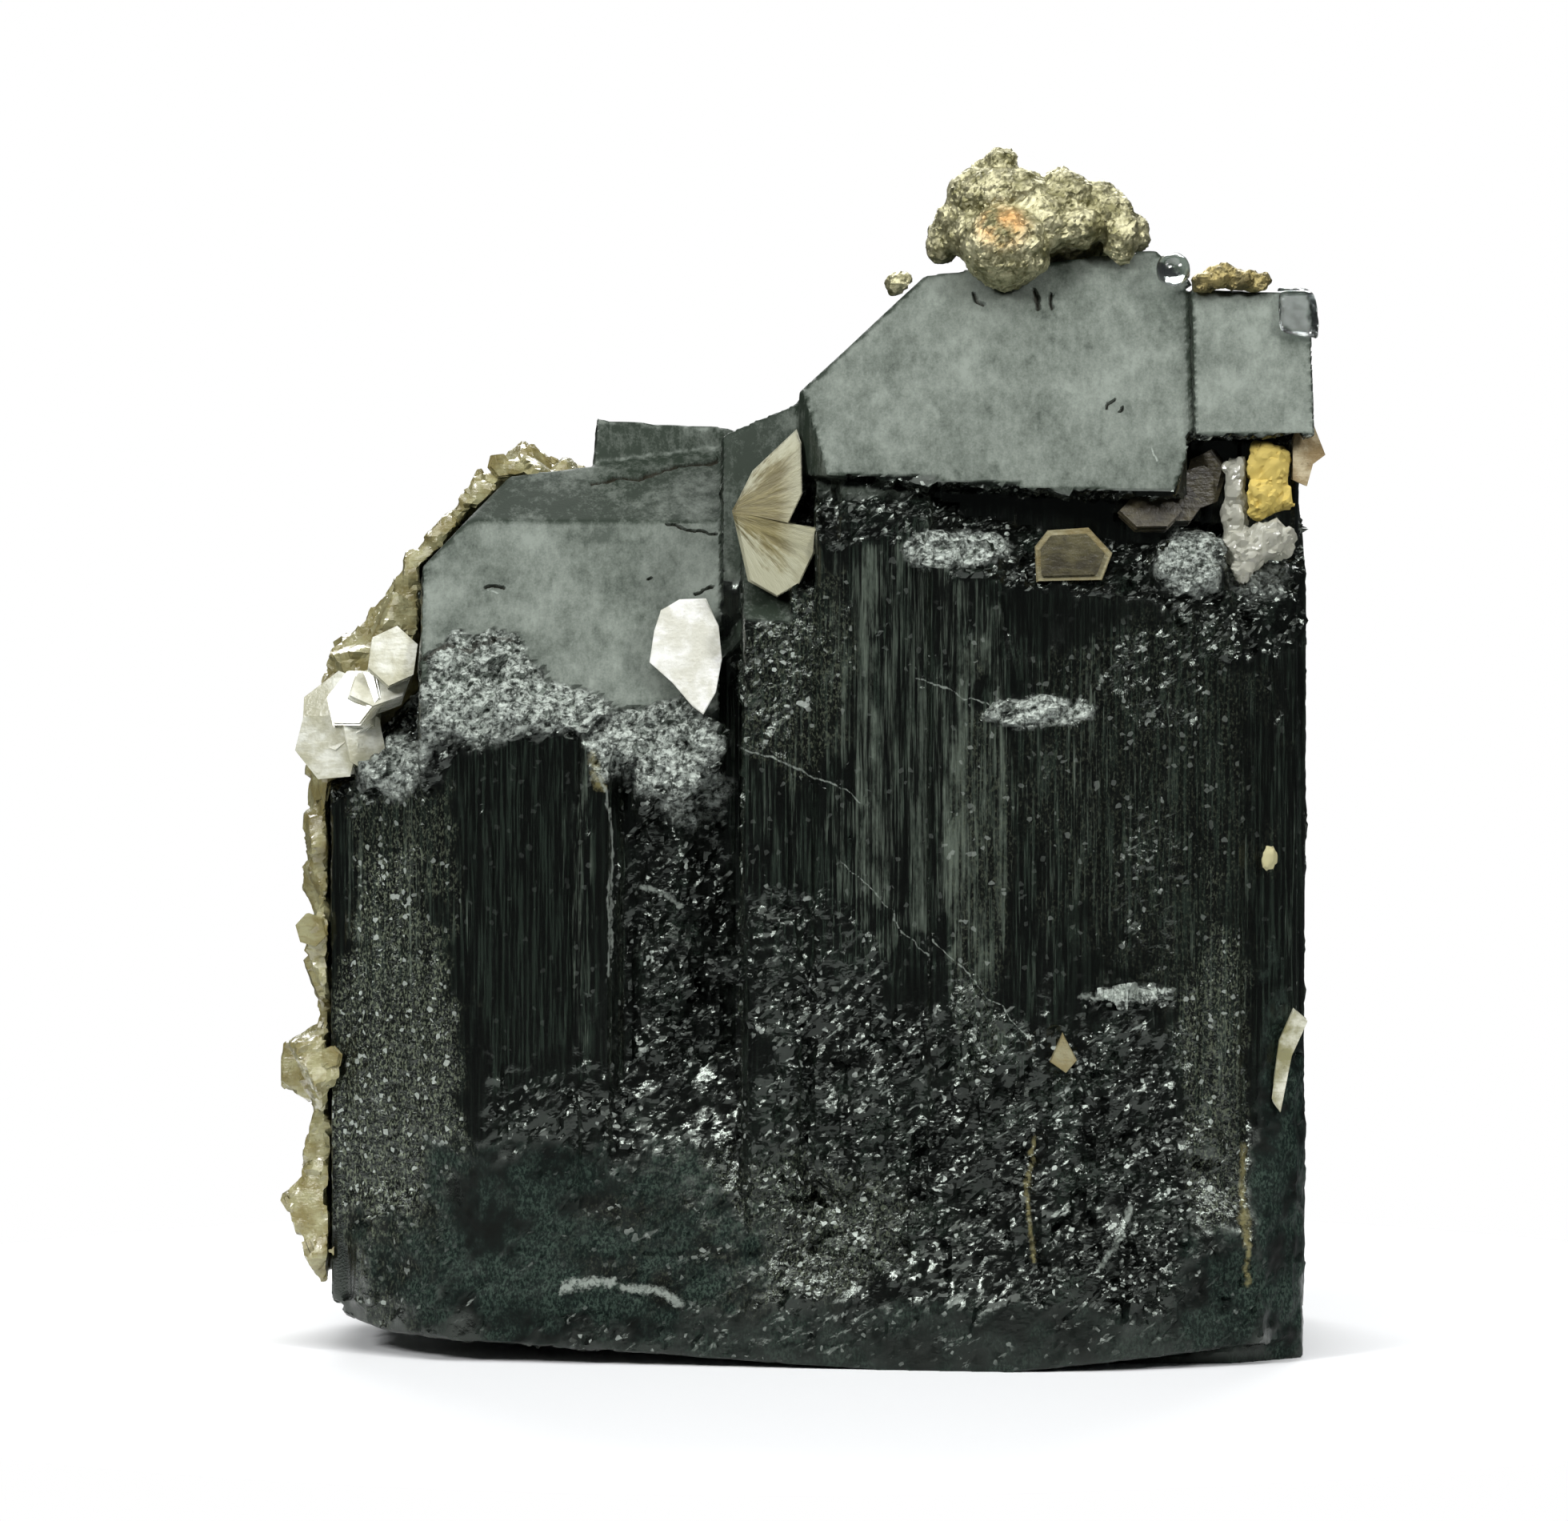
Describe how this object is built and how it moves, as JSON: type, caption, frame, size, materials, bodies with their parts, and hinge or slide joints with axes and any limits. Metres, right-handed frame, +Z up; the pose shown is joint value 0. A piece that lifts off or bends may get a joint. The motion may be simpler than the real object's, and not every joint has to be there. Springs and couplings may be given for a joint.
{
  "type": "ferberite crystal specimen",
  "caption": "Upright black ferberite crystal group with grey chisel tips, muscovite mica crust and blades, brassy pyrite on the crest and small quartz and ochre pockets.",
  "frame": {"origin": "middle of the bounding box on the surface that the specimen stands on", "axes": "+Z up along the crystals, +X to the right seen from the front, +Y to the back; the grey tip faces lean back from the front"},
  "size_m": [0.0657, 0.04, 0.0759],
  "materials": {
    "ferberite": "sub-metallic black with striated faces and satin grey tips",
    "tan_mica": "tan mica books with a pearly sheen",
    "pearly_mica": "silvery, pearly mica blades",
    "smoky_mica": "smoky brown mica, glossy",
    "grey_quartz": "cloudy grey quartz",
    "clear_quartz": "clear colourless quartz",
    "ochre": "dull yellow, crumbly",
    "pyrite": "brassy, grainy metallic",
    "pale_bleb": "pale yellow-green, waxy"
  },
  "bodies": {
    "root": {"ferberite": "ferberite", "muscovite_left_crust": "tan_mica", "muscovite_left_rosette": "pearly_mica", "muscovite_white_crystal": "pearly_mica", "muscovite_centre_books": "tan_mica", "muscovite_dark_plate": "smoky_mica", "muscovite_brown_book": "smoky_mica", "muscovite_right_books": "tan_mica", "grey_quartz": "grey_quartz", "yellow_ochre_mass": "ochre", "clear_quartz_corner": "clear_quartz", "clear_quartz_bead": "clear_quartz", "brassy_crust": "pyrite", "pyrite_cluster": "pyrite", "pyrite_grain": "pyrite", "muscovite_low_wedge": "tan_mica", "muscovite_right_sliver": "pearly_mica", "siderite_bleb": "pale_bleb"}
  },
  "joints": []
}
